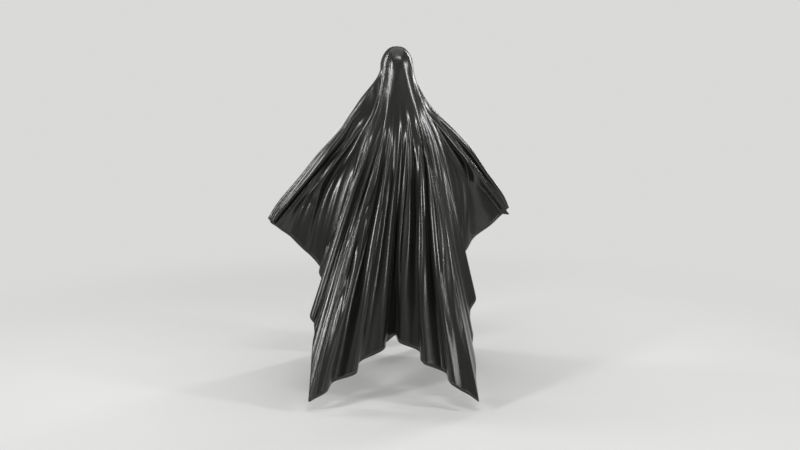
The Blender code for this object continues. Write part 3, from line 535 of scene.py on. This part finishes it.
def clear_of_arms(points):
    """The points, with those that creases press into a sleeve moved out to its surface."""
    for side in (1, -1):
        shoulder, elbow, tip = [np.array(corner) for corner in arm_corners(side)]
        wrist = tip + (elbow - tip) * HAND_LENGTH / FOREARM_LENGTH
        for start, end, first, last in (
            (shoulder, elbow, UPPER_SLEEVE_DIAMETER, ELBOW_SLEEVE_DIAMETER),
            (elbow, wrist, ELBOW_SLEEVE_DIAMETER, WRIST_SLEEVE_DIAMETER),
            (wrist, tip, PALM_DIAMETER, HAND_THICKNESS),
        ):
            run = end - start
            share = np.clip((points - start) @ run / (run @ run), 0, 1)[:, None]
            spoke = points - start - run * share
            reach = np.linalg.norm(spoke, axis=1)[:, None]
            room = (first + (last - first) * share) / 2 + SLEEVE_GAP
            points = points + spoke / reach * np.maximum(room - reach, 0)
    return points


def sector_directions(count):
    """Directions round Z that include the sheet's four corners."""
    quarter = count // 4
    to_corner = round(quarter * CORNER_DIRECTION / (math.pi / 2))
    places = np.arange(quarter)
    first = np.where(
        places <= to_corner,
        CORNER_DIRECTION * places / to_corner,
        CORNER_DIRECTION
        + (math.pi / 2 - CORNER_DIRECTION) * (places - to_corner) / (quarter - to_corner))
    second = math.pi - np.append(first, math.pi / 2)[:0:-1]
    half = np.concatenate([first, second])
    return np.concatenate([half, half + math.pi])


def ring_distances():
    """Ring distances from the hole to the hem, with close rings at the crown and the hem."""
    half = SHEET_WIDTH / 2
    inner = list(np.geomspace(HOLE_RADIUS + FIRST_RING, INNER_REACH, INNER_RINGS))
    outer = list(np.linspace(OUTER_START, half - HEM_WIDTH, OUTER_RINGS))
    return [HOLE_RADIUS] + inner + outer + [half - HEM_WIDTH / 2, half]


def on_rim(edge, number):
    """Whether both ends of an edge are on the ring of that number or past it."""
    return all(vert.co.length > number - 0.5 for vert in edge.verts)


def disc_order(part):
    """A number that grows from ring to ring, and round each of them, for a point or a face."""
    place = part.co if isinstance(part, bmesh.types.BMVert) else part.calc_center_median()
    turn = math.atan2(place.y, place.x) % math.tau
    return round(place.length * 4) * 10 + turn


def ring_disc(distances):
    """A flat disc of rings one unit apart, whose sectors double outwards."""
    coarse = SECTORS // 2 ** len(INNER_DIVISIONS)
    bm = bmesh.new()
    bmesh.ops.create_circle(bm, cap_ends=False, radius=1, segments=coarse)
    rim = list(bm.edges)
    doubled = 0
    for number, distance in enumerate(distances[1:], start=2):
        grown = bmesh.ops.extrude_edge_only(bm, edges=rim)["geom"]
        outer = [part for part in grown if isinstance(part, bmesh.types.BMVert)]
        bmesh.ops.scale(bm, vec=(number / (number - 1),) * 2 + (1,), verts=outer)
        if doubled < len(INNER_DIVISIONS) and distance >= INNER_DIVISIONS[doubled]:
            doubled += 1
            rim = [edge for edge in bm.edges if edge.is_boundary and on_rim(edge, number)]
            bmesh.ops.subdivide_edges(bm, edges=rim, cuts=1)
            for vert in bm.verts:
                if vert.is_boundary and vert.co.length > number - 0.5:
                    vert.co = vert.co.normalized() * number
        rim = [edge for edge in bm.edges if edge.is_boundary and on_rim(edge, number)]
    for parts in (bm.verts, bm.faces):
        parts.sort(key=disc_order)
        parts.index_update()
    return bm


# Pieces

def new_object(name, bm, finish):
    """An object with the mesh and one material, in the scene."""
    mesh = bpy.data.meshes.new(name)
    bm.to_mesh(mesh)
    bm.free()
    mesh.materials.append(finish)
    made = bpy.data.objects.new(name, mesh)
    bpy.context.scene.collection.objects.link(made)
    return made


def disc_places(bm, distances):
    """Each point's direction round the sheet and its ring's distance, in the flat disc of rings."""
    places = np.array([tuple(vert.co) for vert in bm.verts])
    ring = np.round(np.hypot(places[:, 0], places[:, 1])).astype(int) - 1
    turn = np.arctan2(places[:, 1], places[:, 0]) % math.tau
    sector = np.round(turn / math.tau * SECTORS).astype(int) % SECTORS
    return sector_directions(SECTORS)[sector], np.array(distances)[ring]


def move_points(bm, points):
    """Put the mesh's points in new places."""
    for vert, point in zip(bm.verts, points):
        vert.co = point


def drape(bm, direction, distance, along):
    """Hang the disc as the pleated sheet, and then crease it along its own normals."""
    points, spread = pleated(guides(), direction, distance)
    move_points(bm, points)
    bmesh.ops.recalc_face_normals(bm, faces=bm.faces)
    bm.normal_update()
    outward = np.array([tuple(vert.normal) for vert in bm.verts])
    points = points + outward * creases(direction, along, spread)[:, None]
    move_points(bm, clear_of_arms(points))


def keep_pattern(bm, direction, along):
    """Keep the flat sheet's places as a UV map, and each point's distance from the hem."""
    flat = bm.loops.layers.uv.new("flat_pattern")
    pattern = np.stack([along * np.cos(direction), along * np.sin(direction)], axis=1)
    for face in bm.faces:
        for loop in face.loops:
            loop[flat].uv = pattern[loop.vert.index]
    hem = bm.verts.layers.float.new("from_hem")
    for vert, value in zip(bm.verts, hem_distance(direction) - along):
        vert[hem] = float(value)


def satin_sheet(finish):
    """The draped sheet, which stands in for the model's own."""
    distances = ring_distances()
    bm = ring_disc(distances)
    direction, distance = disc_places(bm, distances)
    along = along_cloth(direction, distance)
    drape(bm, direction, distance, along)
    keep_pattern(bm, direction, along)
    piece = new_object("satin_sheet", bm, finish)
    piece.data.shade_smooth()
    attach(piece, "root")
    thick = piece.modifiers.new("cloth", "SOLIDIFY")
    thick.thickness = CLOTH_THICKNESS
    thick.offset = 0
    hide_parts("drape_sheet")


# Materials

def put(tree, socket, value):
    """Link a Value to a socket, or set a constant on it."""
    if isinstance(value, Value):
        tree.links.new(value.socket, socket)
    else:
        socket.default_value = value


def socket_of(sockets, identifier):
    """The socket with an identifier, for nodes that have several of one name."""
    return next(socket for socket in sockets if socket.identifier == identifier)


class Value:
    """A shader socket that adds Math nodes when it is used in an expression."""

    def __init__(self, tree, socket):
        self.tree = tree
        self.socket = socket

    def math(self, operation, *others):
        """A Math node that works on this value and others."""
        made = self.tree.nodes.new("ShaderNodeMath")
        made.operation = operation
        for place, other in zip(made.inputs, (self,) + others):
            put(self.tree, place, other)
        return Value(self.tree, made.outputs[0])

    def __add__(self, other):
        return self.math("ADD", other)

    def __sub__(self, other):
        return self.math("SUBTRACT", other)

    def __rsub__(self, other):
        return (self * -1).math("ADD", other)

    def __mul__(self, other):
        return self.math("MULTIPLY", other)

    def __truediv__(self, other):
        return self.math("DIVIDE", other)

    __radd__ = __add__
    __rmul__ = __mul__

    def clamped(self):
        """Held between 0 and 1."""
        return self.math("MAXIMUM", 0).math("MINIMUM", 1)

    def smooth(self):
        """A smooth step, for a value from 0 to 1."""
        return self * self * (3 - 2 * self)


class Finish:
    """A material with one Principled shader, and the nodes that feed it."""

    def __init__(self, name, **constants):
        self.material = bpy.data.materials.new(name)
        self.material.use_nodes = True
        self.tree = self.material.node_tree
        self.shader = self.tree.nodes["Principled BSDF"]
        for socket, value in constants.items():
            self.shader.inputs[socket.replace("_", " ")].default_value = value

    def node(self, kind, settings=None, output=0, **sockets):
        """Add a node of any type. Its settings are set before its sockets' values or links."""
        made = self.tree.nodes.new("ShaderNode" + kind)
        for name, value in (settings or {}).items():
            setattr(made, name, value)
        for name, value in sockets.items():
            put(self.tree, made.inputs[name.replace("_", " ")], value)
        return Value(self.tree, made.outputs[output])

    def place(self, scale=(1, 1, 1), uv=None):
        """Object coordinates, or those of a UV map, scaled."""
        if uv:
            where = self.node("UVMap", {"uv_map": uv})
        else:
            where = self.node("TexCoord", output="Object")
        return self.node("Mapping", Vector=where, Scale=scale)

    def noise(self, where, scale=1.0, detail=2.0, roughness=0.5):
        """Smooth noise of 0 to 1, with so many features to a unit of its coordinates."""
        return self.node("TexNoise", Vector=where, Scale=scale, Detail=detail, Roughness=roughness)

    def blend(self, factor, first, second):
        """A colour between two."""
        mix = self.node("Mix", {"data_type": "RGBA"}).socket.node
        for name, value in (("Factor_Float", factor), ("A_Color", first), ("B_Color", second)):
            put(self.tree, socket_of(mix.inputs, name), value)
        return Value(self.tree, socket_of(mix.outputs, "Result_Color"))

    def feed(self, socket, value):
        """Link a value to one of the shader's sockets."""
        self.tree.links.new(value.socket, self.shader.inputs[socket])

    def relief(self, *layers):
        """Bump layers of (height, strength, distance in metres), one over the other."""
        normal = None
        for height, strength, distance in layers:
            sockets = {"Height": height, "Strength": strength, "Distance": distance}
            if normal:
                sockets["Normal"] = normal
            normal = self.node("Bump", **sockets)
        self.feed("Normal", normal)


def colour(red, green, blue):
    """An opaque colour, as sockets take it."""
    return (red, green, blue, 1)


def satin():
    """Charcoal satin: long floating threads along the length, crossed by a fine weft."""
    made = Finish("charcoal satin", Specular_IOR_Level=0.62, Sheen_Weight=0.06,
                  Sheen_Roughness=0.35, Anisotropic=0.35)
    flat = made.place(uv="flat_pattern")
    slubs = made.noise(made.place(scale=SLUB_SCALE, uv="flat_pattern"), detail=3.0)
    crumple = made.noise(flat, scale=12, roughness=0.4)
    patches = made.noise(flat, scale=3.2, detail=3.0)
    warp = made.node("TexWave", {"wave_type": "BANDS", "bands_direction": "X"},
                     output=1, Vector=flat, Scale=WARP_SCALE, Distortion=0.0)
    weft = made.node("TexWave", {"wave_type": "BANDS", "bands_direction": "Y"},
                     output=1, Vector=flat, Scale=WEFT_SCALE, Distortion=0.0)
    weave = warp * 0.65 + weft * 0.35
    from_hem = made.node("Attribute", {"attribute_name": "from_hem"}, output="Fac")
    in_hem = (1 - from_hem / HEM_WIDTH).clamped().math("SIGN")
    fold = (1 - ((from_hem - HEM_WIDTH) / HEM_LINE).math("ABSOLUTE")).clamped()
    plain = made.blend(slubs, colour(*SATIN_DARK), colour(*SATIN_LIGHT))
    worn = made.blend((patches * 1.6 - 0.55).clamped(), plain, colour(*SATIN_WORN))
    made.feed("Base Color", made.blend(fold * 0.8, worn, colour(*SATIN_SEAM)))
    uneven = 0.04 * slubs + 0.06 * patches + 0.06 * in_hem
    made.feed("Roughness", (SATIN_ROUGHNESS + uneven).clamped())
    made.relief((crumple, 0.10, 0.004), (in_hem - fold * 2, 0.5, 0.0006),
                (slubs, 0.06, 0.0002), (weave, 0.10, 0.0002))
    return made.material


def brushed(name, tint, roughness, streaks=(40, 40, 900)):
    """A metal with fine rings of draw marks round Z."""
    made = Finish(name, Metallic=1.0)
    marks = made.noise(made.place(scale=streaks), detail=3.0)
    clouds = made.noise(made.place(), scale=60, detail=3.0)
    light = colour(*tint)
    dull = colour(*[part * 0.72 for part in tint])
    made.feed("Base Color", made.blend((clouds * 0.8).clamped(), light, dull))
    made.feed("Roughness", (roughness - 0.08 + 0.16 * marks + 0.10 * clouds).clamped())
    made.relief((marks, 0.15, 0.0002))
    return made.material


def foam(name, light, dark, cell=0.0022):
    """Closed-cell foam: small rounded cells, with a soft mottled skin."""
    made = Finish(name, Specular_IOR_Level=0.35)
    cells = made.node("TexVoronoi", {"feature": "SMOOTH_F1"}, Vector=made.place(),
                      Scale=1 / cell, Smoothness=0.6)
    mottle = made.noise(made.place(), scale=45, detail=4.0)
    made.feed("Base Color", made.blend((cells * 0.5 + mottle * 0.6).clamped(),
                                       colour(*dark), colour(*light)))
    made.feed("Roughness", (0.78 + 0.16 * mottle).clamped())
    made.relief((cells, 0.35, 0.0006), (mottle, 0.25, 0.001))
    return made.material


def plastic():
    """Black extruded plastic, with a faint grain along Z."""
    made = Finish("black plastic tube")
    grain = made.noise(made.place(scale=(300, 300, 30)), detail=3.0)
    made.feed("Base Color", made.blend(grain, colour(0.055, 0.055, 0.058),
                                       colour(0.085, 0.085, 0.09)))
    made.feed("Roughness", (0.38 + 0.14 * grain).clamped())
    made.relief((grain, 0.12, 0.0003))
    return made.material


def beech():
    """Planed beech, with its grain along X and short dark flecks."""
    made = Finish("oiled beech")
    rings = made.noise(made.place(scale=(8, 60, 60)), detail=4.0)
    flecks = made.noise(made.place(scale=(180, 900, 900)))
    light = made.blend(rings, colour(0.52, 0.35, 0.20), colour(0.36, 0.22, 0.12))
    spots = (flecks * 3 - 1.7).clamped()
    made.feed("Base Color", made.blend(spots * 0.7, light, colour(0.20, 0.11, 0.06)))
    made.feed("Roughness", (0.48 + 0.16 * rings).clamped())
    made.relief((rings, 0.15, 0.0006), (flecks, 0.2, 0.0003))
    return made.material


def dress_nodes():
    """Give each of the model's own pieces its finish."""
    finishes = {
        "zinc_steel": brushed("zinc plated steel", (0.58, 0.59, 0.60), 0.34),
        "blackened_brass": brushed("blackened brass", (0.075, 0.070, 0.062), 0.36),
        "aluminium_rod": brushed("drawn aluminium", (0.72, 0.73, 0.74), 0.38),
        "grey_foam": foam("grey foam", (0.19, 0.19, 0.195), (0.12, 0.12, 0.125)),
        "head_foam": foam("pale head foam", (0.66, 0.66, 0.64), (0.50, 0.50, 0.48), 0.0035),
        "neck_plastic": plastic(),
        "hub_wood": beech(),
    }
    for subpart in frame["record"]["subparts"]:
        if subpart["material_slot"] in finishes:
            node = frame["nodes"][subpart["node"]]
            for slot in node.material_slots:
                slot.material = finishes[subpart["material_slot"]]


# Studio

def pale_studio():
    """A pale floor whose far part fades, for the camera alone, into the world's own pale tone."""
    made = Finish("pale floor", Roughness=0.9, Specular_IOR_Level=0.2)
    where = made.place()
    grain = made.noise(where, scale=2.0, detail=5.0)
    made.feed("Base Color", made.blend(grain, colour(*FLOOR_DARK), colour(*FLOOR_LIGHT)))
    reach = made.node("VectorMath", {"operation": "LENGTH"}, output="Value", Vector=where)
    far = ((reach - FADE_START) / (FADE_END - FADE_START)).clamped()
    seen = made.node("LightPath", output="Is Camera Ray")
    glow = made.node("Emission", Color=colour(*BACKGROUND), Strength=1.0)
    both = made.node("MixShader", Fac=far.smooth() * seen)
    lit = Value(made.tree, made.shader.outputs[0])
    for socket, value in zip(both.socket.node.inputs[1:], (lit, glow)):
        put(made.tree, socket, value)
    put(made.tree, made.tree.nodes["Material Output"].inputs["Surface"], both)
    bm = bmesh.new()
    bmesh.ops.create_grid(bm, x_segments=1, y_segments=1, size=FLOOR_SIZE / 2)
    bmesh.ops.translate(bm, vec=(0, 0, FLOOR_HEIGHT), verts=bm.verts)
    new_object("studio_floor", bm, made.material)


def soft_box(name, location, target, size, power):
    """A rectangular light that faces its target."""
    lamp = bpy.data.lights.new(name, "AREA")
    lamp.shape = "RECTANGLE"
    lamp.size, lamp.size_y = size
    lamp.energy = power
    holder = bpy.data.objects.new(name, lamp)
    bpy.context.scene.collection.objects.link(holder)
    holder.location = location
    aim = Vector(target) - holder.location
    holder.rotation_euler = aim.to_track_quat("-Z", "Y").to_euler()


def lights():
    """A wide light overhead, two thin ones behind for the rims, and four in front for streaks."""
    middle = (0, 0, -0.7)
    soft_box("overhead", (0, 1.0, 6.0), (0, 1.0, -1.8), (9.0, 9.0), 230)
    soft_box("rim_left", (-2.8, 1.6, 0.9), middle, (0.25, 2.4), 48)
    soft_box("rim_right", (2.8, 1.6, 0.9), middle, (0.25, 2.4), 48)
    soft_box("front_high", (-0.5, -3.2, 3.4), middle, (1.8, 0.4), 58)
    soft_box("front_left", (-3.9, -1.9, 1.0), middle, (0.55, 1.3), 88)
    soft_box("front_right", (3.4, -2.6, 0.8), middle, (0.4, 1.3), 72)
    soft_box("front_low", (0.4, -4.6, -0.4), middle, (1.8, 0.2), 24)


def world():
    """The background's tone, which is weaker as a light than as the camera sees it."""
    made = bpy.data.worlds.new("soft studio")
    bpy.context.scene.world = made
    made.use_nodes = True
    tree = made.node_tree
    background = tree.nodes["Background"]
    path = tree.nodes.new("ShaderNodeLightPath")
    seen = Value(tree, path.outputs["Is Camera Ray"])
    background.inputs["Color"].default_value = colour(*BACKGROUND)
    put(tree, background.inputs["Strength"], WORLD_LIGHT + seen * (1 - WORLD_LIGHT))


def camera():
    """At the photograph's angle: level with the crown, from the figure's right, looking down."""
    lens = bpy.data.cameras.new("camera")
    lens.lens = LENS
    lens.sensor_width = SENSOR_WIDTH
    lens.shift_x = LENS_SHIFT
    holder = bpy.data.objects.new("camera", lens)
    bpy.context.scene.collection.objects.link(holder)
    across = math.sin(CAMERA_TURN) * CAMERA_DISTANCE
    ahead = -math.cos(CAMERA_TURN) * CAMERA_DISTANCE
    holder.location = (across, ahead, CAMERA_HEIGHT)
    target = Vector((0, 0, CAMERA_HEIGHT - math.tan(CAMERA_TILT) * CAMERA_DISTANCE))
    holder.rotation_euler = (target - holder.location).to_track_quat("-Z", "Y").to_euler()
    bpy.context.scene.camera = holder


camera()
world()
lights()
pale_studio()
dress_nodes()
satin_sheet(satin())
bpy.context.scene.view_settings.view_transform = "Standard"
